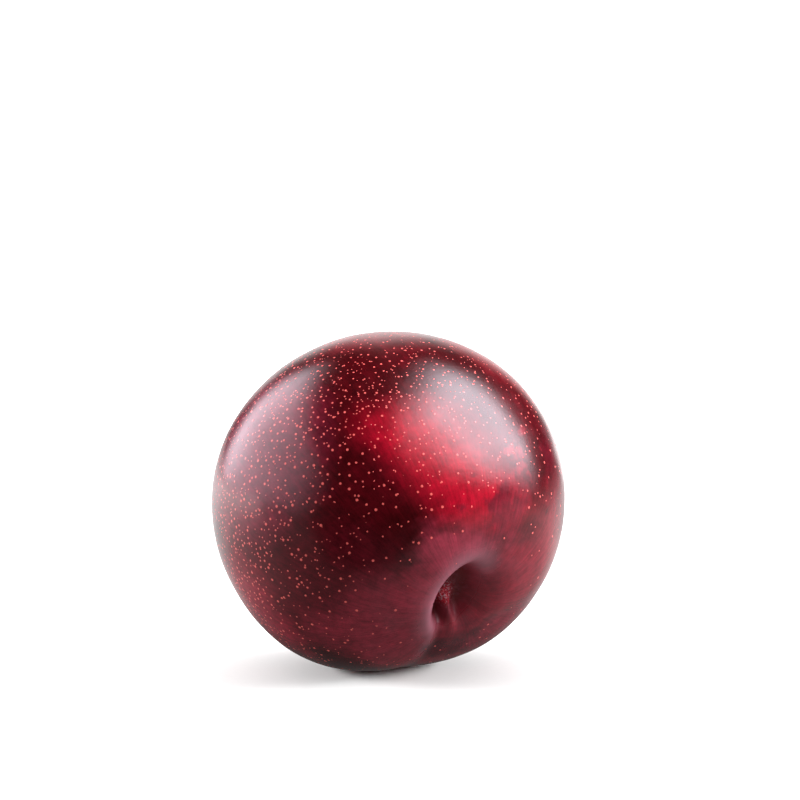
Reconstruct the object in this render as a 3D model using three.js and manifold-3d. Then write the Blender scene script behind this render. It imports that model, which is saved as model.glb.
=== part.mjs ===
// A ripe Japanese plum, dark red, picked without its stalk and lying on its suture side.
//
// A plum grows as one piece, so it is one solid: a squat round body with three faint lobes, a flattened
// side with the shallow suture down its middle, a deep stem cavity with the stalk's scar in it, a small
// blossom tip at the other end, and a small flat spot that it rests on.
//
// Units are millimetres and +Z is up. The origin is the middle of the rest spot. The stem end faces -Y
// and dips towards the floor, and the suture runs underneath, from the stem end to the blossom end.
//
// The shape is worked out with the fruit standing on its blossom end: x runs across the two cheeks,
// y points away from the suture and z points out of the stem end. "toSuture" below is -y.

import * as THREE from "three";
import { mergeVertices } from "three/addons/utils/BufferGeometryUtils.js";
import Module from "manifold-3d";

// ---- Driving dimensions -----------------------------------------------------------------------------

const body = {
  radius: 30.15, // half the width, across the cheeks
  stemHalf: 28.6, // from the middle to the stem end, before the cavity is sunk
  blossomHalf: 26.7, // from the middle to the blossom end
  squareness: 0.88, // 1 is an ellipse; less gives fuller shoulders
  lobeShare: 0.018, // how far each of the three lobes stands out, as a share of the radius
};

// The suture side is pressed in this far. It starts clear of the two ends.
const flatSide = { depth: 2.1, halfWidth: 12.3, onset: 6, endRadius: [2, 14] };

const suture = {
  depth: 0.22,
  halfWidth: 2.4,
  mouthDepth: 1.3, // deeper and narrower where it runs into the stem cavity
  mouthHalfWidth: 1.2,
  mouthReach: 8, // how far from the stem axis that holds
  bend: 2.6, // its sideways swing at the stem axis
  bendReach: 9.5,
  onset: 3,
  end: 0.15, // radians short of the blossom end, where it fades out
  fade: 0.5,
};

// Places in the stem cavity are [across the cheeks, towards the suture] from the stem axis.
const basin = { at: [1.5, -0.5], radius: 8, depth: 1.0 };
const cup = {
  at: [-0.1, -1.1],
  halfSize: [4.5, 6.4],
  depth: 5.6,
  steepest: 8, // the power of the wall's curve on the overhung side
  softest: 4.5, // and on the opposite side
};
const cleft = { at: [-1.8, 3.0], halfSize: [1.5, 2.9], turn: 32, depth: 4.2, power: 4 };
const ridge = { at: [-0.2, 3.4], halfSize: [1.1, 3.0], turn: 20, height: 2.4 };
const stalkScar = { at: [-0.6, 0.9], radius: 1.5, height: 0.5 };

const blossomTip = { dimpleRadius: 4.5, dimpleDepth: 0.5, radius: 0.8, height: 0.5 };

const lie = {
  stemDip: 29.2, // degrees that the stem end points below level
  centre: [0, -1.0, 27.85], // where the body's middle stands, from the rest spot
};

const segments = 72; // around the stem axis
const rings = 64; // from end to end
const seamCrowding = 0.45; // vertices crowd towards the suture
const endCrowding = 0.75; // and towards the two ends

// ---- Shape ------------------------------------------------------------------------------------------

const { smoothstep, degToRad, lerp } = THREE.MathUtils;
const bell = (t) => Math.exp(-t * t);

// How far out of the middle of an oval a place is, where 1 is the oval's edge.
function ovalReach(across, toSuture, { at, halfSize, turn = 0 }) {
  const angle = degToRad(turn);
  const a = across - at[0];
  const b = toSuture - at[1];
  const short = (a * Math.cos(angle) - b * Math.sin(angle)) / halfSize[0];
  const long = (a * Math.sin(angle) + b * Math.cos(angle)) / halfSize[1];
  return { reach: Math.hypot(short, long), short };
}

// The body with no hollows: a squat superellipsoid of revolution with three lobes.
function roundBody(polar, around) {
  const lobes = 1 + body.lobeShare * Math.cos(3 * around) * Math.sin(polar) ** 2;
  const out = body.radius * Math.abs(Math.sin(polar)) ** body.squareness * lobes;
  const middle = (body.stemHalf + body.blossomHalf) / 2;
  const lean = (body.stemHalf - body.blossomHalf) / 2;
  const up = (middle + lean * Math.cos(polar)) * Math.cos(polar);
  return { across: out * Math.sin(around), toSuture: out * Math.cos(around), up };
}

// How far the suture side is pressed in towards the middle, its flattening and its groove together.
function pressedIn(across, toSuture, polar) {
  const flat =
    flatSide.depth *
    smoothstep(toSuture, 0, flatSide.onset) *
    smoothstep(Math.hypot(across, toSuture), ...flatSide.endRadius) *
    bell(across / flatSide.halfWidth);
  const outward = Math.max(toSuture, 0);
  const nearStem = polar < Math.PI / 2 ? bell(outward / suture.mouthReach) : 0;
  const middle = -suture.bend * bell(outward / suture.bendReach) * (polar < Math.PI / 2 ? 1 : 0);
  const width = lerp(suture.halfWidth, suture.mouthHalfWidth, nearStem);
  const depth = lerp(suture.depth, suture.mouthDepth, nearStem);
  const present =
    smoothstep(toSuture, 0, suture.onset) *
    smoothstep(Math.PI - suture.end - polar, 0, suture.fade);
  return flat + present * depth * Math.exp(-(Math.abs((across - middle) / width) ** 1.6));
}

// How far the stem end is sunk: a soft basin, the cup, the cleft where the suture comes in, and the
// ridge and the stalk's scar that stand up from the cup's floor.
function stemHollow(across, toSuture) {
  const dish = ovalReach(across, toSuture, { at: basin.at, halfSize: [basin.radius, basin.radius] });
  const c = ovalReach(across, toSuture, cup);
  const overhung = smoothstep(0.5 - (0.9 * c.short) / Math.max(c.reach, 1e-6), 0, 1);
  const wall = lerp(cup.softest, cup.steepest, overhung);
  const cupDepth = cup.depth / (1 + c.reach ** wall);
  const cleftDepth = cleft.depth / (1 + ovalReach(across, toSuture, cleft).reach ** cleft.power);
  const deepest = (cupDepth ** 4 + cleftDepth ** 4) ** 0.25;
  const scar = ovalReach(across, toSuture, {
    at: stalkScar.at,
    halfSize: [stalkScar.radius, stalkScar.radius],
  });
  const raised =
    ridge.height * bell(ovalReach(across, toSuture, ridge).reach) +
    stalkScar.height / (1 + scar.reach ** 8);
  return basin.depth * bell(dish.reach) + deepest - raised;
}

// How far the blossom end is sunk: a shallow dimple with the dry tip standing in it.
function blossomHollow(across, toSuture) {
  const out = Math.hypot(across, toSuture);
  return (
    blossomTip.dimpleDepth * bell(out / blossomTip.dimpleRadius) -
    blossomTip.height * bell(out / blossomTip.radius)
  );
}

function skinPoint(polar, around) {
  const p = roundBody(polar, around);
  const inward = 1 - pressedIn(p.across, p.toSuture, polar) / Math.hypot(p.across, p.toSuture, p.up);
  const across = p.across * inward;
  const toSuture = p.toSuture * inward;
  const up = p.up * inward;
  const sunk = up > 0 ? -stemHollow(across, toSuture) : blossomHollow(across, toSuture);
  return new THREE.Vector3(across, -toSuture, up + sunk);
}

// ---- Solid ------------------------------------------------------------------------------------------

function fruitGeometry() {
  const skin = new THREE.SphereGeometry(1, segments, rings);
  skin.deleteAttribute("normal");
  skin.deleteAttribute("uv");
  const position = skin.getAttribute("position");
  const direction = new THREE.Spherical();
  const vertex = new THREE.Vector3();
  for (let i = 0; i < position.count; i++) {
    direction.setFromVector3(vertex.fromBufferAttribute(position, i));
    const polar = direction.phi - (endCrowding * Math.sin(2 * direction.phi)) / 2;
    const around = direction.theta - seamCrowding * Math.sin(direction.theta);
    position.setXYZ(i, ...skinPoint(polar, around));
  }
  return skin;
}

const wasm = await Module();
wasm.setup();

function solidFrom(geometry) {
  geometry.deleteAttribute("normal");
  geometry.deleteAttribute("uv");
  const merged = mergeVertices(geometry, 1e-4);
  const vertProperties = new Float32Array(merged.getAttribute("position").array);
  const triVerts = new Uint32Array(merged.index.array);
  return new wasm.Manifold(new wasm.Mesh({ numProp: 3, vertProperties, triVerts }));
}

function geometryFrom(solid) {
  const mesh = solid.getMesh();
  const geometry = new THREE.BufferGeometry();
  geometry.setAttribute("position", new THREE.BufferAttribute(mesh.vertProperties, 3));
  geometry.setIndex(new THREE.BufferAttribute(mesh.triVerts, 1));
  geometry.computeVertexNormals();
  return geometry;
}

// Lays the standing fruit down, and cuts it level where it rests.
function layDown(geometry) {
  geometry.rotateX(degToRad(90 + lie.stemDip));
  geometry.translate(...lie.centre);
  const block = 3 * body.radius;
  const ground = new THREE.BoxGeometry(block, block, block).translate(0, 0, -block / 2);
  return geometryFrom(solidFrom(geometry).subtract(solidFrom(ground)));
}

const skinMaterial = new THREE.MeshStandardMaterial({ color: 0x5a0f1e, roughness: 0.22, metalness: 0 });

const plum = new THREE.Mesh(layDown(fruitGeometry()), skinMaterial);
plum.name = "plum";

const fruit = new THREE.Group();
fruit.add(plum);

export default fruit;
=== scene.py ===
# %% [markdown]
# A ripe Japanese plum, large and dark red, without its stalk, lying on its suture side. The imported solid
# gives the frame: where the fruit lies and how big it is. Everything here is in metres, in that frame,
# with +Z up, the stem end facing -Y and the fruit resting on z = 0.

# %% Load the frame
import math

import bpy
import numpy as np
from mathutils import Matrix, Vector, noise


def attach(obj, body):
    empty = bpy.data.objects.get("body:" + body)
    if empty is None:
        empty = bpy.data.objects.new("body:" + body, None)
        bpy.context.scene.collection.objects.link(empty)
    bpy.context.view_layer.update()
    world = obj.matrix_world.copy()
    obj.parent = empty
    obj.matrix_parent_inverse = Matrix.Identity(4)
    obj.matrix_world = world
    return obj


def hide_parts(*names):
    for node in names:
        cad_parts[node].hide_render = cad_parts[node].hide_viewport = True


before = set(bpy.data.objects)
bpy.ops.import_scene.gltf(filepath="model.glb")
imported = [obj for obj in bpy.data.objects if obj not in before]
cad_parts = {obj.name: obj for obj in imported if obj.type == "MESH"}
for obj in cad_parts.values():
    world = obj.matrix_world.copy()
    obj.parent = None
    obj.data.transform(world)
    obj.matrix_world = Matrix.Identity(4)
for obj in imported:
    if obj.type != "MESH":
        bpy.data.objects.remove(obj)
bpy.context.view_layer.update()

MM = 0.001


# %% [markdown]
# The camera comes first, because the lamps are placed around the view. A fruit is photographed from
# far off with a long lens, so that its outline isn't stretched: here 70 cm and 186 mm. It stands ten
# degrees above the fruit, to the left of the stem end, and looks a little over the fruit, which leaves
# clear space above it.

# %% The camera
VIEW_AZIMUTH = math.radians(-31.4)
VIEW_HEIGHT = math.radians(10)
VIEW_DISTANCE = 0.700
LENS, FILM_WIDTH = 186.07, 36
FRUIT_MIDDLE = Vector((0, -1.0, 27.85)) * MM
AIM_RIGHT, AIM_UP = 2.30 * MM, 17.59 * MM


def heading(azimuth, height):
    """The direction at this azimuth from the camera's side (+ is to its right) and height, in degrees."""
    turn, lift = VIEW_AZIMUTH + math.radians(azimuth), math.radians(height)
    return Vector((math.sin(turn) * math.cos(lift), -math.cos(turn) * math.cos(lift), math.sin(lift)))


def look(thing, target):
    """Turns a camera or a lamp, whose own -Z is its line of sight, to face a place."""
    thing.rotation_euler = (target - thing.location).to_track_quat("-Z", "Y").to_euler()


view_right = Vector((math.cos(VIEW_AZIMUTH), math.sin(VIEW_AZIMUTH), 0))
to_camera = heading(0, math.degrees(VIEW_HEIGHT))
view_up = to_camera.cross(view_right)

camera = bpy.data.objects.new("camera", bpy.data.cameras.new("camera"))
bpy.context.scene.collection.objects.link(camera)
camera.data.sensor_width, camera.data.lens = FILM_WIDTH, LENS
camera.data.clip_start, camera.data.clip_end = 0.01, 20
camera.location = FRUIT_MIDDLE + to_camera * VIEW_DISTANCE
look(camera, FRUIT_MIDDLE + view_right * AIM_RIGHT + view_up * AIM_UP)
bpy.context.scene.camera = camera
print("camera at", [round(v, 3) for v in camera.location])


# %% [markdown]
# Every finish below is a tree of shader nodes. Two small helpers keep the trees short: one turns a
# colour written as sRGB hex into the linear values that a shader works in, and one adds a node with
# its settings and its links.

# %% Helpers for the finishes
def linear(hex_colour):
    """An sRGB colour such as "a01c30" as linear red, green, blue and alpha."""
    values = [int(hex_colour[i:i + 2], 16) / 255 for i in (0, 2, 4)]
    return [v / 12.92 if v <= 0.04045 else ((v + 0.055) / 1.055) ** 2.4 for v in values] + [1.0]


def add(tree, kind, inputs=None, **settings):
    """Adds one node with its settings. Each input takes a value, or the node or socket that feeds it."""
    node = tree.nodes.new("ShaderNode" + kind)
    for name, value in settings.items():
        setattr(node, name, value)
    for key, value in (inputs or {}).items():
        if isinstance(value, bpy.types.Node):
            value = next(socket for socket in value.outputs if socket.enabled)
        if isinstance(value, bpy.types.NodeSocket):
            tree.links.new(value, node.inputs[key])
        else:
            node.inputs[key].default_value = value
    return node


# %% [markdown]
# The floor is a plain white sheet, far wider than any view, so that no edge shows. A matt sheet gives
# back light evenly, so its finish is a plain diffuse white with a trace of paper tooth in it.

# %% The floor
FLOOR_RADIUS = 5.0

bpy.ops.object.select_all(action="DESELECT")
bpy.ops.mesh.primitive_circle_add(vertices=96, radius=FLOOR_RADIUS, fill_type="NGON")
floor = bpy.context.object
floor.name = "floor"
bpy.ops.object.mode_set(mode="EDIT")
bpy.ops.mesh.select_all(action="SELECT")
bpy.ops.mesh.inset(thickness=FLOOR_RADIUS * 0.5)
bpy.ops.object.mode_set(mode="OBJECT")

paper = bpy.data.materials.new("matt_white_paper")
paper.use_nodes = True
tree = paper.node_tree
tree.nodes.clear()
place = add(tree, "TexCoord").outputs["Object"]
tooth = add(tree, "TexNoise", {"Vector": place, "Scale": 900, "Detail": 2})
tint = add(tree, "Mix", {0: tooth, 6: linear("e9e9e9"), 7: linear("ededed")}, data_type="RGBA")
matt = add(tree, "BsdfDiffuse", {"Color": tint, "Roughness": 0.6})
floor.data.materials.append(paper)
print("floor", 2 * FLOOR_RADIUS, "m across")


# %% [markdown]
# What the glossy fruit mirrors of the floor is set apart. A studio hides most of the table from a
# glossy fruit with dark cards, or its whole lower half would look veiled. So to a glossy ray the floor
# is dim near the fruit, black in front of it, brighter to the left and close behind, and brightest far
# behind on the right. Its place is read along two lines, to the camera's right and away from the camera.
# First come the two sides and the part behind.

# %% What the fruit mirrors of the floor: the sides and behind
turned = add(tree, "Mapping", {"Vector": place, "Rotation": (0, 0, -VIEW_AZIMUTH)})
apart = add(tree, "SeparateXYZ", {0: turned})
right, away = apart.outputs[0], apart.outputs[1]
reach = add(tree, "VectorMath", {0: place}, operation="LENGTH")
left_side = add(tree, "MapRange", {0: right, 1: -0.020, 2: -0.330, 3: 0.28, 4: 2.9})
left_front = add(tree, "MapRange", {0: away, 1: -0.06, 2: 0.01, 3: 0.38, 4: 1.0},
                 interpolation_type="SMOOTHSTEP")
left_side = add(tree, "Math", {0: left_side, 1: left_front}, operation="MULTIPLY")
right_side = add(tree, "MapRange", {0: right, 1: -0.02, 2: 0.16, 3: 0.0, 4: 0.55})
sides = add(tree, "Math", {0: left_side, 1: right_side})
behind_it = add(tree, "MapRange", {0: away, 1: 0.0, 2: 0.07}, interpolation_type="SMOOTHSTEP")
behind_left = add(tree, "MapRange", {0: right, 1: 0.25, 2: 0.08, 3: -0.4, 4: 0.5},
                  interpolation_type="SMOOTHSTEP")
mirrored = add(tree, "Math", {0: behind_it, 1: behind_left, 2: sides}, operation="MULTIPLY_ADD")


# %% [markdown]
# It is dimmer under the fruit, which is a painted shadow of the fruit, and dimmer far behind it and near
# the camera. The lane far behind on the right is a wedge between two lines through the fruit. Last, the
# glow is painted black in front of the fruit, as a black card standing there would leave it: the edge of
# that black bends round the fruit, straight before it and slanting back on both sides.

# %% What the fruit mirrors of the floor: dimmer places with a painted shadow, the far lane and the painted black in front
BLACK_EDGE_STRAIGHT, BLACK_EDGE_RIGHT_SLANT, BLACK_EDGE_LEFT_SLANT = -0.035, 0.8, -0.9

# The first of these dims the glow near the fruit: a painted shadow of the fruit on the floor it mirrors.
for line, dim_from, full_from, dim, full in (
        (reach, 0.012, 0.048, 0.30, 1.0),
        (away, 0.15, 0.60, 1.0, 0.25),
        (away, -0.17, -0.05, 0.3, 1.0)):
    share = add(tree, "MapRange", {0: line, 1: dim_from, 2: full_from, 3: dim, 4: full},
                interpolation_type="SMOOTHSTEP")
    mirrored = add(tree, "Math", {0: mirrored, 1: share}, operation="MULTIPLY")
slant = add(tree, "Math", {0: right, 1: away}, operation="DIVIDE")
lane = add(tree, "MapRange", {0: slant, 1: 0.75, 2: 0.35, 3: 0.0, 4: 2.3}, interpolation_type="SMOOTHSTEP")
lane_left = add(tree, "MapRange", {0: slant, 1: -0.05, 2: 0.10}, interpolation_type="SMOOTHSTEP")
lane = add(tree, "Math", {0: lane, 1: lane_left}, operation="MULTIPLY")
far = add(tree, "MapRange", {0: away, 1: 0.10, 2: 0.25}, interpolation_type="SMOOTHSTEP")
lane = add(tree, "Math", {0: far, 1: lane}, operation="MULTIPLY")
mirrored = add(tree, "Math", {0: mirrored, 1: lane}, operation="MAXIMUM")
rightward = add(tree, "Math", {0: right, 1: 0.0}, operation="MAXIMUM")
leftward = add(tree, "Math", {0: right, 1: BLACK_EDGE_STRAIGHT}, operation="MINIMUM")
front = add(tree, "Math", {0: rightward, 1: BLACK_EDGE_RIGHT_SLANT, 2: away}, operation="MULTIPLY_ADD")
front = add(tree, "Math", {0: leftward, 1: BLACK_EDGE_LEFT_SLANT, 2: front}, operation="MULTIPLY_ADD")
# Painted black in front of the fruit, where a black card would stand.
painted_black_front = add(tree, "MapRange", {0: front, 1: -0.035, 2: -0.015}, interpolation_type="SMOOTHSTEP")
mirrored = add(tree, "Math", {0: mirrored, 1: painted_black_front}, operation="MULTIPLY")


# %% [markdown]
# A light path node tells what kind of ray asks. The camera sees the matt sheet, a glossy ray sees the
# map above, and a diffuse ray gets some even light as well, which fills the fruit's underside.

# %% Who sees what of the floor
EVEN_GLOW = 0.4

asking = add(tree, "LightPath")
given = add(tree, "Math", {0: asking.outputs["Is Diffuse Ray"], 1: EVEN_GLOW, 2: mirrored},
            operation="MULTIPLY_ADD")
glow = add(tree, "Emission", {"Strength": given})
seen = add(tree, "MixShader", {0: asking.outputs["Is Camera Ray"], 1: glow, 2: matt})
add(tree, "OutputMaterial", {0: seen})
print("the floor's finish has", len(tree.nodes), "nodes")


# %% [markdown]
# Two soft boxes light the fruit: a strong one high on the right and a little behind, which gives the
# large bright reflection on its shoulder, and a wide dim one low on the left. A soft box is brightest
# near its bulb and fades across its cloth, and its edges are soft. So each lamp's strength runs across
# it: it rises from the far end as a power of the distance, and falls softly at each edge. Their cloth
# gives a very slightly pink white.

# %% The cloth of a soft box
FAINTEST = 0.06  # the share of light at the far end of the cloth, and the breadth of the soft edge there
CLOTH_TINT = (1.0, 0.945, 1.04)


def hang_cloth(lamp, left, right, faint, bulb, rim, power, lean):
    """Makes the lamp's strength run across it. It is faintest at faint and brightest at bulb, its soft
    edge ends at rim, and its lower edge runs down to the right by lean. Left to rim are in metres."""
    lamp.use_nodes = True
    tree = lamp.node_tree
    tree.nodes.clear()
    parts = add(tree, "SeparateXYZ", {0: add(tree, "NewGeometry").outputs["Parametric"]})
    over, up = parts.outputs[0], parts.outputs[1]
    faint, bulb, rim = [(x - left) / (right - left) for x in (faint, bulb, rim)]
    rising = add(tree, "MapRange", {0: over, 1: faint, 2: bulb})
    rising = add(tree, "Math", {0: rising, 1: power}, operation="POWER")
    strength = add(tree, "MapRange", {0: rising, 1: 0.0, 2: 1.0, 3: FAINTEST, 4: 1.0})
    lower = add(tree, "Math", {0: over, 1: lean, 2: up}, operation="MULTIPLY_ADD")
    lower = add(tree, "Math", {0: lower, 1: 0.6 * lean}, operation="SUBTRACT")
    near_rim = 1.0 if rim > bulb else 0.0
    far_rim = 1 - near_rim
    for value, dark, full in ((over, near_rim, rim), (over, far_rim, abs(far_rim - FAINTEST)),
                              (lower, 0.04, 0.44), (up, 1.0, 0.70)):
        soft = add(tree, "MapRange", {0: value, 1: dark, 2: full}, interpolation_type="SMOOTHSTEP")
        strength = add(tree, "Math", {0: strength, 1: soft}, operation="MULTIPLY")
    add(tree, "OutputLight", {0: add(tree, "Emission", {"Strength": strength})})


print("the cloth is faintest at", FAINTEST, "of its full strength")


# %% [markdown]
# A flag keeps both soft boxes off the floor, or each would throw a long shadow there: the floor is left
# out of what they light.

# %% The soft boxes
LAMP_REACH = 1.0

flag = bpy.data.collections.new("kept_off_the_floor")
flag.objects.link(floor)
flag.collection_objects[0].light_linking.link_state = "EXCLUDE"


def soft_box(name, azimuth, height, edges, radiance, slope, cloth):
    """A soft box 1 m from the fruit, turned by slope degrees. Its edges (left, right, bottom, top) are
    metres from the line to the fruit."""
    left, right, bottom, top = edges
    lamp = bpy.data.lights.new(name, "AREA")
    lamp.shape = "RECTANGLE"
    lamp.size, lamp.size_y = right - left, top - bottom
    lamp.energy = radiance * math.pi * lamp.size * lamp.size_y
    lamp.color = CLOTH_TINT
    hang_cloth(lamp, left, right, *cloth)
    box = bpy.data.objects.new(name, lamp)
    bpy.context.scene.collection.objects.link(box)
    box.location = FRUIT_MIDDLE + heading(azimuth, height) * LAMP_REACH
    look(box, FRUIT_MIDDLE)
    box.rotation_euler.rotate_axis("Z", math.radians(slope))
    offset = Vector(((left + right) / 2, (bottom + top) / 2, 0)) * LAMP_REACH
    box.location += box.rotation_euler.to_matrix() @ offset
    box.visible_camera = False
    box.light_linking.receiver_collection = flag
    return box


key_box = soft_box("key_soft_box", 97, 44, (-1.45, 0.62, -0.92, 0.73), 12.2, -14,
                   (-1.45, -0.36, 0.18, 3.0, 0.30))
fill_box = soft_box("fill_soft_box", -112, 18, (-0.80, 2.80, -0.75, 0.91), 6.3, 0,
                    (2.50, -0.20, -0.32, 2.2, 0.0))
print("soft boxes at", [round(v, 2) for v in key_box.location], [round(v, 2) for v in fill_box.location])


# %% [markdown]
# The floor has lights of its own: one sheet of even light overhead, wider than the table and mostly
# behind, bright enough to wash it out to pure white, and a low panel on each side, which shortens the
# ends of the shadow. With light from nearly everywhere, all that stays dark is the small soft pool under
# the fruit's belly. Light linking keeps them off the fruit.

# %% The floor's own light
SHEET_WIDTH, SHEET_LENGTH, SHEET_HEIGHT = 9.0, 2.4, 1.0
SHEET_FRONT = 0.38  # how far it reaches in front of the fruit
PANEL_WIDTH, PANEL_HEIGHT = 0.6, 0.30

floor_only = bpy.data.collections.new("floor_alone")
floor_only.objects.link(floor)


def floor_lamp(name, width, length, radiance):
    """An even rectangle of light for the floor alone."""
    lamp = bpy.data.lights.new(name, "AREA")
    lamp.shape = "RECTANGLE"
    lamp.size, lamp.size_y = width, length
    lamp.energy = radiance * math.pi * width * length
    hung = bpy.data.objects.new(name, lamp)
    bpy.context.scene.collection.objects.link(hung)
    hung.visible_camera = False
    hung.light_linking.receiver_collection = floor_only
    return hung


overhead = floor_lamp("overhead_sheet", SHEET_WIDTH, SHEET_LENGTH, 2.65)
overhead.location = heading(180, 0) * (SHEET_LENGTH / 2 - SHEET_FRONT) + Vector((0, 0, SHEET_HEIGHT))
overhead.rotation_euler = (0, 0, VIEW_AZIMUTH)
for side, radiance in ((-1, 46.0), (1, 60.0)):
    panel = floor_lamp("side_panel", PANEL_WIDTH, PANEL_HEIGHT, radiance)
    panel.location = FRUIT_MIDDLE + heading(100 * side, 14)
    look(panel, FRUIT_MIDDLE)
print("a sheet of light", SHEET_WIDTH, "m wide over the floor, and a panel on each side")


# %% [markdown]
# The room around the fruit is the world shader: dark, with a pale lozenge of backdrop behind the table,
# which shows as a thin light rim round the fruit. Its left end is dark near the table, so the rim breaks
# there. The camera sees plain white past the floor's edge.

# %% The room
BACKDROP = 1.65
LOZENGE_HALF_WIDTH, LOZENGE_HALF_HEIGHT = 0.40, 0.58

world = bpy.data.worlds.new("studio")
bpy.context.scene.world = world
world.use_nodes = True
tree = world.node_tree
tree.nodes.clear()
sight = add(tree, "TexCoord").outputs["Generated"]
height = add(tree, "SeparateXYZ", {0: sight}).outputs[2]
beside = add(tree, "VectorMath", {0: sight, 1: view_right}, operation="DOT_PRODUCT")
lozenge = add(tree, "VectorMath", {0: add(tree, "CombineXYZ", {0: beside, 1: height})}, operation="ABSOLUTE")
scaled = (1 / LOZENGE_HALF_WIDTH, 1 / LOZENGE_HALF_HEIGHT, 0)
lozenge = add(tree, "VectorMath", {0: lozenge, 1: scaled}, operation="DOT_PRODUCT").outputs["Value"]
pale = add(tree, "MapRange", {0: lozenge, 1: 1.65, 2: 0.50, 3: 0.0, 4: BACKDROP},
           interpolation_type="SMOOTHSTEP")
lowest = add(tree, "Math", {0: height, 1: 0.6, 2: beside}, operation="MULTIPLY_ADD")
left_end = add(tree, "MapRange", {0: lowest, 1: -0.34, 2: -0.16, 3: 0.06, 4: 1.0},
               interpolation_type="SMOOTHSTEP")
pale = add(tree, "Math", {0: pale, 1: left_end}, operation="MULTIPLY")
behind = add(tree, "VectorMath", {0: sight, 1: heading(180, 0)}, operation="DOT_PRODUCT")
facing = add(tree, "Math", {0: behind, 1: 0.0}, operation="GREATER_THAN")
backdrop = add(tree, "Math", {0: pale, 1: facing}, operation="MULTIPLY")
level = add(tree, "Mix", {0: add(tree, "LightPath").outputs["Is Camera Ray"], 2: backdrop, 3: 1.0})
add(tree, "OutputWorld", {0: add(tree, "Background", {"Strength": level})})
bpy.context.scene.view_settings.view_transform = "Standard"
print("the backdrop's strength is", BACKDROP)


# %% [markdown]
# The plum grows as one skin, so it is one piece. Its body is nearly a solid of revolution about the
# line from the stem to the blossom end, so it starts as half a ring of points, spun once round that
# line. The points crowd towards both ends and towards the suture, where the small forms are. It is
# worked standing on its blossom end: x across the two cheeks, y away from the suture, z up to the stem.

# %% Half a ring, spun round
RADIUS = 30.15  # half the width across the cheeks, in mm
RINGS, SEGMENTS = 128, 144


def select_points(piece, chosen):
    """Selects these points of a piece, and nothing else of it."""
    mesh = piece.data
    mesh.edges.foreach_set("select", [False] * len(mesh.edges))
    mesh.polygons.foreach_set("select", [False] * len(mesh.polygons))
    mesh.vertices.foreach_set("select", chosen)


bpy.ops.object.select_all(action="DESELECT")
bpy.ops.mesh.primitive_circle_add(vertices=2 * RINGS, radius=RADIUS * MM, rotation=(math.pi / 2, 0, 0))
plum = bpy.context.object
plum.name = "plum_skin"
plum.data.name = "plum_skin"
bpy.ops.object.transform_apply(location=False, rotation=True, scale=False)
half = 0.25 * RADIUS * MM * math.sin(math.pi / RINGS)
select_points(plum, [vertex.co.x < -half for vertex in plum.data.vertices])
bpy.ops.object.mode_set(mode="EDIT")
bpy.ops.mesh.select_mode(type="VERT")
bpy.ops.mesh.delete(type="VERT")
bpy.ops.mesh.select_all(action="SELECT")
bpy.ops.mesh.spin(steps=SEGMENTS, angle=2 * math.pi, center=(0, 0, 0), axis=(0, 0, 1))
bpy.ops.mesh.select_all(action="SELECT")
bpy.ops.mesh.remove_doubles(threshold=half * 0.5)
bpy.ops.mesh.normals_make_consistent(inside=False)
bpy.ops.object.mode_set(mode="OBJECT")
print("spun", len(plum.data.vertices), "points")


# %% [markdown]
# Now the fruit's real form. The operators can't press a groove of changing width into a body, so the
# points are moved in code, as a sculptor's brushes would move them. First the body alone: a squat
# round with full shoulders, a shorter blossom half, and three faint lobes.

# %% The body's form
STEM_HALF, BLOSSOM_HALF = 28.6, 26.7
SQUARENESS = 0.88  # 1 is an ellipse; less gives fuller shoulders
LOBE_SHARE = 0.018  # how far each lobe stands out, as a share of the radius
END_CROWDING, SEAM_CROWDING = 0.75, 0.45  # 0 spreads the points evenly


def step(value, low, high):
    t = np.clip((value - low) / (high - low), 0, 1)
    return t * t * (3 - 2 * t)


def bell(t):
    return np.exp(-t * t)


def points_of(piece):
    places = np.empty(len(piece.data.vertices) * 3)
    piece.data.vertices.foreach_get("co", places)
    return places.reshape(-1, 3) / MM


def set_points(piece, places):
    piece.data.vertices.foreach_set("co", (places * MM).ravel())
    piece.data.update()


start = points_of(plum)
polar = np.arccos(np.clip(start[:, 2] / np.linalg.norm(start, axis=1), -1, 1))
around = np.arctan2(start[:, 0], -start[:, 1])
polar = polar - END_CROWDING * np.sin(2 * polar) / 2
around = around - SEAM_CROWDING * np.sin(around)

lobes = 1 + LOBE_SHARE * np.cos(3 * around) * np.sin(polar) ** 2
out = RADIUS * np.sin(polar) ** SQUARENESS * lobes
middle, lean = (STEM_HALF + BLOSSOM_HALF) / 2, (STEM_HALF - BLOSSOM_HALF) / 2
across, to_suture = out * np.sin(around), out * np.cos(around)
up = (middle + lean * np.cos(polar)) * np.cos(polar)
stem_side = polar < math.pi / 2
print("body", round(np.ptp(across), 1), "x", round(np.ptp(to_suture), 1), "x", round(np.ptp(up), 1), "mm")


# %% [markdown]
# The suture side is flatter than the rest, and the suture itself is a shallow groove down its middle.
# It deepens and narrows where it runs into the stem cavity, and swings a little to one side there.

# %% The flat side and the suture
FLAT_DEPTH, FLAT_HALF_WIDTH, FLAT_ONSET, FLAT_END_RADII = 2.1, 12.3, 6, (2, 14)
SUTURE_DEPTH, SUTURE_HALF_WIDTH = 0.22, 2.4
MOUTH_DEPTH, MOUTH_HALF_WIDTH, MOUTH_REACH = 1.3, 1.2, 10.5
SUTURE_BEND, BEND_REACH = 2.6, 9.5
SUTURE_ONSET, SUTURE_END, SUTURE_FADE = 3, 0.15, 0.5
SUTURE_POWER = 1.6  # 2 is a bell; less gives a sharper bottom

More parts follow.
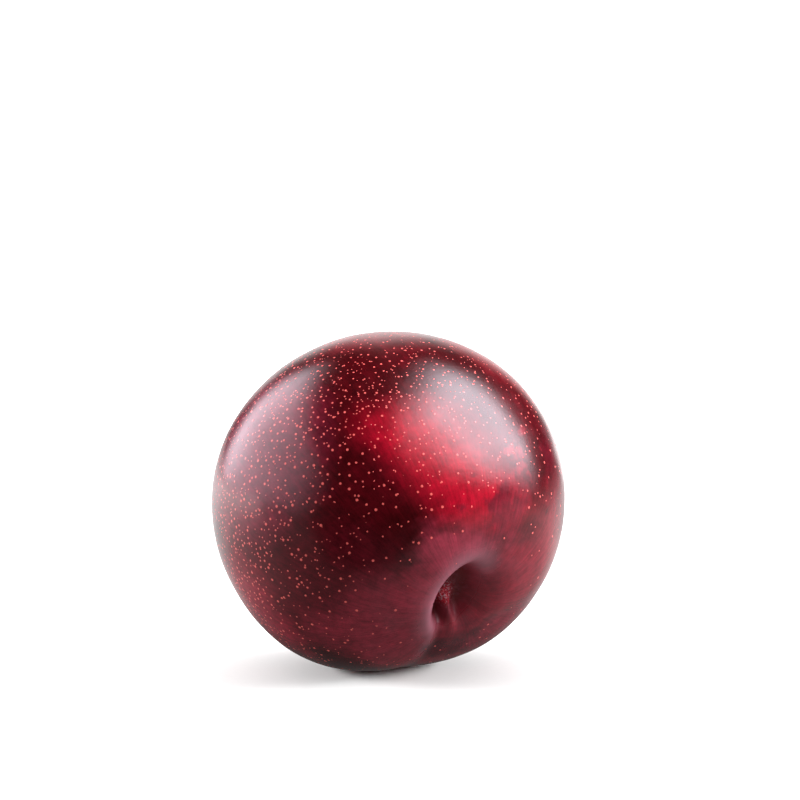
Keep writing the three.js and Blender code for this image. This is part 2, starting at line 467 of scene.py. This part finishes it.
flat = FLAT_DEPTH * step(to_suture, 0, FLAT_ONSET) * step(np.hypot(across, to_suture), *FLAT_END_RADII)
flat *= bell(across / FLAT_HALF_WIDTH)
outward = np.maximum(to_suture, 0)
near_stem = bell(outward / MOUTH_REACH) * stem_side
seam = -SUTURE_BEND * bell(outward / BEND_REACH) * stem_side
seam_width = SUTURE_HALF_WIDTH + (MOUTH_HALF_WIDTH - SUTURE_HALF_WIDTH) * near_stem
seam_depth = SUTURE_DEPTH + (MOUTH_DEPTH - SUTURE_DEPTH) * near_stem
groove = step(to_suture, 0, SUTURE_ONSET) * step(math.pi - SUTURE_END - polar, 0, SUTURE_FADE)
groove = groove * seam_depth * np.exp(-np.abs((across - seam) / seam_width) ** SUTURE_POWER)
inward = 1 - (flat + groove) / np.sqrt(across**2 + to_suture**2 + up**2)
across, to_suture, up = across * inward, to_suture * inward, up * inward
print("flattened by", FLAT_DEPTH, "mm, suture", SUTURE_DEPTH, "to", MOUTH_DEPTH, "mm deep")


# %% [markdown]
# The stem cavity is what tells a plum from a ball. It is a soft basin with a narrow, steep cup in it,
# overhung on one side, where the stalk stood. A cleft comes in from the suture, a ridge stands between
# the two, and the stalk has left a small raised scar on the floor. Each is one pressed or raised oval.
# The blossom end has only a shallow dimple, with the dry tip of the flower standing in it.

# %% The stem cavity and the blossom tip
BASIN_DEPTH, CUP_DEPTH, CLEFT_DEPTH, RIDGE_HEIGHT, SCAR_HEIGHT = 1.0, 5.6, 4.2, 2.0, 0.5
CUP_SOFTEST, CUP_STEEPEST = 4.5, 8.0  # the power of the wall's curve, on the open and the overhung side
DIMPLE_DEPTH, DIMPLE_RADIUS, TIP_HEIGHT, TIP_RADIUS = 0.5, 4.5, 0.5, 0.8


def oval(at, half_size, turn=0):
    """How far out of an oval's middle each point is, where 1 is its edge, and how far to its side."""
    angle = math.radians(turn)
    a, b = across - at[0], to_suture - at[1]
    short = (a * math.cos(angle) - b * math.sin(angle)) / half_size[0]
    long = (a * math.sin(angle) + b * math.cos(angle)) / half_size[1]
    return np.hypot(short, long), short


basin = oval((1.5, -0.5), (8, 8))[0]
cup, cup_side = oval((-0.2, -0.8), (4.3, 6.0))
cleft = oval((-1.8, 3.0), (1.5, 2.9), 32)[0]
ridge = oval((-0.2, 3.1), (1.1, 2.6), 20)[0]
scar = oval((-0.6, 0.9), (1.5, 1.5))[0]
overhung = step(0.5 - 0.9 * cup_side / np.maximum(cup, 1e-6), 0, 1)
wall = CUP_SOFTEST + (CUP_STEEPEST - CUP_SOFTEST) * overhung
cup_depth = CUP_DEPTH / (1 + cup**wall)
cleft_depth = CLEFT_DEPTH / (1 + cleft**4)
sunk = BASIN_DEPTH * bell(basin) + (cup_depth**4 + cleft_depth**4) ** 0.25
sunk -= RIDGE_HEIGHT * bell(ridge) + SCAR_HEIGHT / (1 + scar**8)
from_axis = np.hypot(across, to_suture)
tip_rise = DIMPLE_DEPTH * bell(from_axis / DIMPLE_RADIUS) - TIP_HEIGHT * bell(from_axis / TIP_RADIUS)
up = up + np.where(stem_side, -sunk, tip_rise)
set_points(plum, np.stack([across, -to_suture, up], 1))
print("the cavity reaches", round(STEM_HALF - up[stem_side & (from_axis < 6)].min(), 1), "mm down")


# %% [markdown]
# The skin's finish differs from place to place: the cavity is dry and painted darker as shade, its lip
# and the skin left of the suture carry a painted pale highlight, and the scar is torn. How much each point
# belongs to these places is kept with the mesh as attributes, which the finish reads and the subdivision
# below carries along.

# %% Mark the places
# These two mark where a pale highlight is painted: on the cavity's curved lip and left of the suture.
left_of_seam = bell((across - seam + 2.0) / 1.1) * step(to_suture, 3.5, 6) * bell(outward / 14)
left_lip = bell((cup - 1.32) / 0.45) * step(-cup_side - 0.12 * (to_suture + 0.8), -0.9, 0.2)
zones = {
    "pit": np.where(stem_side, np.maximum(1 / (1 + (cup / 0.86) ** 5), 1 / (1 + cleft**6)), 0),
    "lip": np.where(stem_side, np.maximum(left_lip, left_of_seam), 0),
    "scar": np.where(stem_side, 1 / (1 + scar**6), 0),
    "ridge": np.where(stem_side, bell(ridge * 1.1), 0),
    "tip": np.where(stem_side, 0, bell(from_axis / 1.3)),
    "seam": np.where(to_suture > 0, bell((across - seam) / 1.1), 0) * step(to_suture, 2, 8),
}
for name, values in zones.items():
    zone = plum.data.attributes.new(name, "FLOAT", "POINT")
    zone.data.foreach_set("value", values.astype(np.float32))
print("marked", ", ".join(zones))


# %% [markdown]
# One level of subdivision rounds the facets away. Only then is there skin enough for the fine relief: a
# ripe plum is never quite round but has faint swellings, the cavity's wall is finely ribbed towards
# the stalk, and the scar is rough, torn fibre. Noise read at each point gives all three. The swellings
# only go inwards, so the skin stays inside the solid's size.

# %% Smooth it and give it fine relief
SWELLING, RIBS, FIBRE, CRUST = 0.08, 0.10, 0.32, 0.10  # heights in mm
SWELLING_BREADTH, RIB_BREADTH, FIBRE_BREADTH, CRUST_BREADTH = 11, 0.42, 0.55, 0.35

bpy.context.view_layer.objects.active = plum
smooth = plum.modifiers.new("smooth", "SUBSURF")
smooth.levels = smooth.render_levels = 1
bpy.ops.object.modifier_apply(modifier=smooth.name)
bpy.ops.object.shade_smooth()


def zone_values(name):
    values = np.empty(len(plum.data.vertices), np.float32)
    plum.data.attributes[name].data.foreach_get("value", values)
    return values


def grain(places, scale, octaves=2):
    """Noise from about -1 to 1 at each place, with features of about the scale in mm."""
    return np.array([noise.fractal(Vector(p) / scale, 0.8, 2.0, octaves) for p in places])


places = points_of(plum)
from_middle = np.linalg.norm(places, axis=1, keepdims=True)
relief = SWELLING * (grain(places, SWELLING_BREADTH) - 1)
pit, scar_zone, tip_zone = zone_values("pit"), zone_values("scar"), zone_values("tip")
from_stalk = places[:, :2] + (0, 1)
angle = np.arctan2(from_stalk[:, 0], from_stalk[:, 1])
ribbed = np.stack([3.2 * np.cos(angle), 3.2 * np.sin(angle), places[:, 2] / 6], 1)
rib_share = pit * (1 - scar_zone) * step(np.hypot(from_stalk[:, 0], from_stalk[:, 1]), 0.5, 2)
relief += RIBS * grain(ribbed, RIB_BREADTH) * rib_share
relief += FIBRE * grain(places, FIBRE_BREADTH, 4) * scar_zone
relief += CRUST * grain(places, CRUST_BREADTH, 3) * tip_zone
set_points(plum, places * (1 + relief[:, None] / from_middle))
print(len(plum.data.polygons), "faces, relief", relief.min().round(2), "to", relief.max().round(2), "mm")


# %% [markdown]
# Last of the shaping, the fruit is laid down on its suture side as it lies in the frame, with its stem
# end dipping forward. The few points that would reach under the table are pressed flat on it.

# %% Lay it down
STEM_DIP = 29.2
laid = Matrix.Translation(FRUIT_MIDDLE) @ Matrix.Rotation(math.radians(90 + STEM_DIP), 4, "X")
plum.data.transform(laid)
places = points_of(plum)
places[:, 2] = np.maximum(places[:, 2], 0)
set_points(plum, places)
print("laid down", [round(v, 2) for v in places.min(0)], [round(v, 2) for v in places.max(0)])


# %% [markdown]
# A ripe plum's skin is a dark red that is nearly black where its colour is deepest. The colour is dye in
# the skin, in soft clouds with no edges of its own, so it is painted by direction from the fruit's
# middle, read as it stood upright. Noise bends the directions first, so that nothing painted with them
# has a plain outline.

# %% The skin's deepest colour
BEND = 0.17  # how far noise bends a direction

skin = bpy.data.materials.new("waxy_plum_skin")
skin.use_nodes = True
tree = skin.node_tree
tree.nodes.clear()
place = add(tree, "TexCoord").outputs["Object"]
upright = (math.radians(90 + STEM_DIP), 0, 0)
standing = add(tree, "Mapping", {"Vector": place, "Location": FRUIT_MIDDLE, "Rotation": upright},
               vector_type="TEXTURE")
spot = add(tree, "VectorMath", {0: standing}, operation="NORMALIZE")
bend = add(tree, "TexNoise", {"Vector": spot, "Scale": 3.2, "Detail": 4, "Roughness": 0.6}).outputs["Color"]
bend = add(tree, "VectorMath", {0: bend, 1: (0.5, 0.5, 0.5)}, operation="SUBTRACT")
area = add(tree, "VectorMath", {0: bend, 1: (BEND, BEND, BEND), 2: spot}, operation="MULTIPLY_ADD")

clouds = add(tree, "TexNoise", {"Vector": spot, "Scale": 2.1, "Detail": 3, "Roughness": 0.5})
deep = add(tree, "MapRange", {0: clouds, 1: 0.42, 2: 0.62}, interpolation_type="SMOOTHSTEP")
colour = add(tree, "Mix", {0: deep, 6: linear("3a0307"), 7: linear("4a050d")}, data_type="RGBA")
print("the deepest colour is painted")


# %% [markdown]
# Where the sun reached it less the skin is a softer, duller red, most of all round the stalk. Each patch
# of it is fullest along one direction and fades around it. A later patch lies over an earlier one.

# %% The softer patches
PATCHES = (  # direction (across, away from the suture, to the stem), degrees full, degrees gone, colour
    ((-0.92, 0.35, -0.10), 15, 38, "70162a"),
    ((-0.85, -0.45, 0.25), 8, 30, "84182a"),
    ((-0.72, -0.02, 0.69), 12, 32, "560a16"),
    ((0.78, 0.02, 0.62), 22, 40, "7c1c28"),
    ((0.05, -0.17, 0.98), 27, 41, "801826"),
    ((-0.42, -0.22, 0.88), 11, 27, "842030"),
    ((-0.10, 0.30, 0.95), 8, 22, "962a3c"),
    ((0.14, -0.35, 0.93), 4, 15, "560c18"),
    ((0.50, -0.33, 0.80), 5, 19, "801e2e"),
    ((0.32, 0.76, 0.56), 3, 9, "780f1e"),
    ((0.80, 0.42, 0.43), 8, 24, "560e1a"),
    ((0.08, 0.61, 0.79), 6, 17, "6a0e1e"),
    ((-0.15, 0.83, -0.54), 5, 22, "620f18"),
    ((0.66, 0.66, -0.34), 12, 36, "74121c"),
    ((0.62, -0.60, -0.50), 15, 45, "7a1626"),
    ((0.55, 0.35, -0.76), 10, 38, "820f20"),
    ((-0.30, -0.55, -0.78), 12, 34, "6c1424"),
)
for middle, full, gone, tint in PATCHES:
    toward = add(tree, "VectorMath", {0: area, 1: middle}, operation="DOT_PRODUCT")
    edge, within = math.cos(math.radians(gone)), math.cos(math.radians(full))
    share = add(tree, "MapRange", {0: toward, 1: edge, 2: within}, interpolation_type="SMOOTHSTEP")
    colour = add(tree, "Mix", {0: share, 6: colour, 7: linear(tint)}, data_type="RGBA")
print(len(PATCHES), "patches of colour")


# %% [markdown]
# The brightest blush lies across the shoulder like one brush stroke. A stroke round a ball is a band
# beside a plane through its middle, so its breadth is masked along that plane's normal, and its two ends
# by direction: the one near the cavity fairly crisp, the far one long and soft.

# %% The crimson blush
BAND_NORMAL = (0.814, 0.492, -0.307)
BAY, BAY_RADII = (0.08, 0.61, 0.79), (2, 11)  # a small dark bay in the stroke's near end, in degrees

axes = add(tree, "SeparateXYZ", {0: area})
beside = add(tree, "VectorMath", {0: area, 1: BAND_NORMAL}, operation="DOT_PRODUCT")
to_bay = add(tree, "VectorMath", {0: area, 1: BAY}, operation="DOT_PRODUCT")
in_bay, bay_edge = (math.cos(math.radians(angle)) for angle in BAY_RADII)
blush = 1.0
for value, gone, full in ((beside, -0.27, -0.05), (beside, 0.48, 0.06), (axes.outputs[1], 0.430, 0.640),
                          (axes.outputs[2], 0.08, 0.45), (to_bay, in_bay, bay_edge)):
    share = add(tree, "MapRange", {0: value, 1: gone, 2: full}, interpolation_type="SMOOTHSTEP")
    blush = add(tree, "Math", {0: blush, 1: share}, operation="MULTIPLY")
colour = add(tree, "Mix", {0: blush, 6: colour, 7: linear("9e0820")}, data_type="RGBA")
print("the blush is painted")


# %% [markdown]
# Close to, the dye is uneven: fine short streaks run from the stalk to the blossom end, over coarser
# mottling. Noise read in stretched coordinates gives streaks: round the stem's line it changes fast, and
# along it slowly. The seam down the suture is a thin darker line.

# %% Streaks and mottling
flat_spot = add(tree, "VectorMath", {0: spot, 1: (1, 1, 0)}, operation="MULTIPLY")
ring = add(tree, "SeparateXYZ", {0: add(tree, "VectorMath", {0: flat_spot}, operation="NORMALIZE")})
heights = add(tree, "SeparateXYZ", {0: spot})
run = add(tree, "Math", {0: heights.outputs[2], 1: 0.22}, operation="MULTIPLY")
along = add(tree, "CombineXYZ", {0: ring.outputs[0], 1: ring.outputs[1], 2: run})
streaks = add(tree, "TexNoise", {"Vector": along, "Scale": 46, "Detail": 3, "Roughness": 0.6})
streak_shade = add(tree, "MapRange", {0: streaks, 1: 0.32, 2: 0.68, 3: 0.80, 4: 1.22})
mottle = add(tree, "TexNoise", {"Vector": spot, "Scale": 17, "Detail": 5, "Roughness": 0.65})
mottle_shade = add(tree, "MapRange", {0: mottle, 1: 0.34, 2: 0.66, 3: 0.78, 4: 1.24})
shade = add(tree, "Math", {0: streak_shade, 1: mottle_shade}, operation="MULTIPLY")
colour = add(tree, "Mix", {0: 1.0, 6: colour, 7: shade}, data_type="RGBA", blend_type="MULTIPLY")
seam_mark = add(tree, "Attribute", attribute_name="seam").outputs["Fac"]
seam_share = add(tree, "Math", {0: seam_mark, 1: 0.35}, operation="MULTIPLY")
colour = add(tree, "Mix", {0: seam_share, 6: colour, 7: linear("36060f")}, data_type="RGBA")
print("streaked and mottled")


# %% [markdown]
# Plums carry a bloom: a thin bluish wax that veils the colour, thickest where nothing has rubbed it,
# which is round the cavity. It is a pale mauve laid over the colour, broken up by rubbed patches. The
# same mauve is laid on the cavity's lip and left of the suture as a painted highlight, where the curved
# skin mirrors the bright floor, and it roughens the gloss there as well.

# %% The bloom and the painted highlight on the lip
rubbed = add(tree, "TexNoise", {"Vector": spot, "Scale": 7, "Detail": 6, "Roughness": 0.62})
bloom_and_lip_highlight = add(tree, "MapRange", {0: rubbed, 1: 0.36, 2: 0.70, 3: 0.3, 4: 1.0})
thick = add(tree, "MapRange", {0: heights.outputs[2], 1: 0.72, 2: 0.98, 3: 0.001, 4: 0.06},
            interpolation_type="SMOOTHSTEP")
bloom_and_lip_highlight = add(tree, "Math", {0: bloom_and_lip_highlight, 1: thick}, operation="MULTIPLY")
# The lip mark adds the painted pale highlight on the cavity's lip and left of the suture.
lip_mark = add(tree, "Attribute", attribute_name="lip").outputs["Fac"]
bloom_and_lip_highlight = add(tree, "Math", {0: lip_mark, 1: 0.36, 2: bloom_and_lip_highlight}, operation="MULTIPLY_ADD")
colour = add(tree, "Mix", {0: bloom_and_lip_highlight, 6: colour, 7: linear("b58a96")}, data_type="RGBA")
print("the bloom is laid on")


# %% [markdown]
# The small pale dots are lenticels, the skin's breathing pores. They are a fifth of a millimetre to three
# times that, crowded on the dark cheek, fewer on the sunny one, and missing round the stalk. A Voronoi
# texture gives one place per cell: a dot is drawn where the skin is near its cell's place, if the cell's
# random number lets it.

# %% The lenticels
POROUS = (  # cells across a radius, smallest and largest dot as a share of the radius, share of cells
    (17, 0.0060, 0.0088, 0.95),
    (31, 0.0034, 0.0054, 0.35),
)

fewer = add(tree, "MapRange", {0: heights.outputs[0], 1: -0.3, 2: 0.5, 3: 1.0, 4: 0.45})
fewer_behind = add(tree, "MapRange", {0: heights.outputs[2], 1: 0.1, 2: -0.3, 3: 1.0, 4: 0.7})
fewer = add(tree, "Math", {0: fewer, 1: fewer_behind}, operation="MULTIPLY")
larger = add(tree, "MapRange", {0: heights.outputs[1], 1: 0.9, 2: 0.5, 3: 0.95, 4: 1.22})
dots = 0.0
for cells, smallest, largest, share_of_cells in POROUS:
    pores = add(tree, "TexVoronoi", {"Vector": spot, "Scale": cells, "Randomness": 1.0})
    on_skin = add(tree, "VectorMath", {0: pores.outputs["Position"]}, operation="NORMALIZE")
    apart = add(tree, "VectorMath", {0: spot, 1: on_skin}, operation="DISTANCE")
    chance = add(tree, "SeparateColor", {0: pores.outputs["Color"]})
    radius = add(tree, "MapRange", {0: chance.outputs[1], 1: 0.0, 2: 1.0, 3: smallest, 4: largest})
    radius = add(tree, "Math", {0: radius, 1: larger}, operation="MULTIPLY")
    size = add(tree, "Math", {0: apart, 1: radius}, operation="DIVIDE")
    dot = add(tree, "MapRange", {0: size, 1: 1.0, 2: 0.45}, interpolation_type="SMOOTHSTEP")
    crowd = add(tree, "MapRange", {0: heights.outputs[2], 1: 0.96, 2: 0.10, 3: 0.0, 4: share_of_cells})
    crowd = add(tree, "Math", {0: crowd, 1: fewer}, operation="MULTIPLY")
    there = add(tree, "Math", {0: chance.outputs[0], 1: crowd}, operation="LESS_THAN")
    dot = add(tree, "Math", {0: dot, 1: there}, operation="MULTIPLY")
    dots = add(tree, "Math", {0: dots, 1: dot}, operation="MAXIMUM")
dot_share = add(tree, "Math", {0: dots, 1: 0.85}, operation="MULTIPLY")
colour = add(tree, "Mix", {0: dot_share, 6: colour, 7: linear("fa6e66")}, data_type="RGBA")
print(len(POROUS), "sizes of lenticel")


# %% [markdown]
# The cavity's skin is painted a darker, deeper red, which is painted shade, as little light gets in. It has
# no shine to speak of: its skin is ribbed, and dry wax gathers in it, in specks of about a millimetre. The
# ridge in it keeps a lighter red, out of that painted shade. The scar is torn red fibre with pale ends, and
# the blossom tip a dry brown point. A noise of scale 1000 has features of about a millimetre here.

# %% The cavity with its painted shade, the scar and the tip
pit_mark, scar_mark, ridge_mark, tip_mark = (
    add(tree, "Attribute", attribute_name=name).outputs["Fac"] for name in ("pit", "scar", "ridge", "tip"))
wax = add(tree, "TexNoise", {"Vector": standing, "Scale": 1100, "Detail": 5, "Roughness": 0.68})
wax_share = add(tree, "MapRange", {0: wax, 1: 0.50, 2: 0.66, 3: 0.0, 4: 0.3},
                interpolation_type="SMOOTHSTEP")
# The cavity's darker red is painted shade, with the real specks of dry wax laid in it; the ridge keeps a
# lighter red.
inside = add(tree, "Mix", {0: wax_share, 6: linear("66040f"), 7: linear("7a3a50")}, data_type="RGBA")
inside = add(tree, "Mix", {0: ridge_mark, 6: inside, 7: linear("7c2030")}, data_type="RGBA")
pit_share = add(tree, "MapRange", {0: pit_mark, 1: 0.10, 2: 0.92}, interpolation_type="SMOOTHSTEP")
colour = add(tree, "Mix", {0: pit_share, 6: colour, 7: inside}, data_type="RGBA")
fibre = add(tree, "TexNoise", {"Vector": standing, "Scale": 2600, "Detail": 4, "Roughness": 0.7})
ends = add(tree, "MapRange", {0: fibre, 1: 0.51, 2: 0.64}, interpolation_type="SMOOTHSTEP")
torn = add(tree, "Mix", {0: ends, 6: linear("b41c30"), 7: linear("dcbcc6")}, data_type="RGBA")
colour = add(tree, "Mix", {0: scar_mark, 6: colour, 7: torn}, data_type="RGBA")
dry = add(tree, "Mix", {0: ends, 6: linear("3a2216"), 7: linear("7a5a3c")}, data_type="RGBA")
colour = add(tree, "Mix", {0: tip_mark, 6: colour, 7: dry}, data_type="RGBA")
print("the cavity, the scar and the tip are painted")


# %% [markdown]
# The skin is smooth and waxed, so its gloss is clear but soft-edged: a roughness of 0.2, with the bloom
# making it uneven, and dry skin in the cavity. Its IOR of 1.45 is that of plant wax. Its relief finer
# than the mesh is bump: a faint orange peel, the lenticels standing a hundredth of a millimetre proud,
# and the scar's torn fibre.

# %% The gloss and the finest relief
DRY_ROUGHNESS, WAX_IOR = 0.6, 1.45
PEEL_HEIGHT, DOT_HEIGHT, FIBRE_HEIGHT = 0.012 * MM, 0.012 * MM, 0.12 * MM

gloss = add(tree, "MapRange", {0: rubbed, 1: 0.30, 2: 0.75, 3: 0.175, 4: 0.245})
gloss = add(tree, "Math", {0: bloom_and_lip_highlight, 1: 0.45, 2: gloss}, operation="MULTIPLY_ADD")
dryness = add(tree, "Math", {0: pit_share, 1: tip_mark}, operation="MAXIMUM")
gloss = add(tree, "Mix", {0: dryness, 2: gloss, 3: DRY_ROUGHNESS})
peel = add(tree, "TexNoise", {"Vector": standing, "Scale": 1500, "Detail": 3, "Roughness": 0.55})
peel = add(tree, "Math", {0: peel, 1: PEEL_HEIGHT}, operation="MULTIPLY")
risen = add(tree, "Math", {0: dots, 1: DOT_HEIGHT, 2: peel}, operation="MULTIPLY_ADD")
fibres = add(tree, "Math", {0: scar_mark, 1: fibre}, operation="MULTIPLY")
risen = add(tree, "Math", {0: fibres, 1: FIBRE_HEIGHT, 2: risen}, operation="MULTIPLY_ADD")
relief_normal = add(tree, "Bump", {"Strength": 1.0, "Distance": 1.0, "Height": risen})
shader = add(tree, "BsdfPrincipled", {"Base Color": colour, "Roughness": gloss, "IOR": WAX_IOR,
                                      "Normal": relief_normal})
add(tree, "OutputMaterial", {"Surface": shader})
plum.data.materials.append(skin)
print("the skin's finish has", len(tree.nodes), "nodes")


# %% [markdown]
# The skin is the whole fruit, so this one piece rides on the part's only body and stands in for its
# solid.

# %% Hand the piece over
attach(plum, "root")
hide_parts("plum")
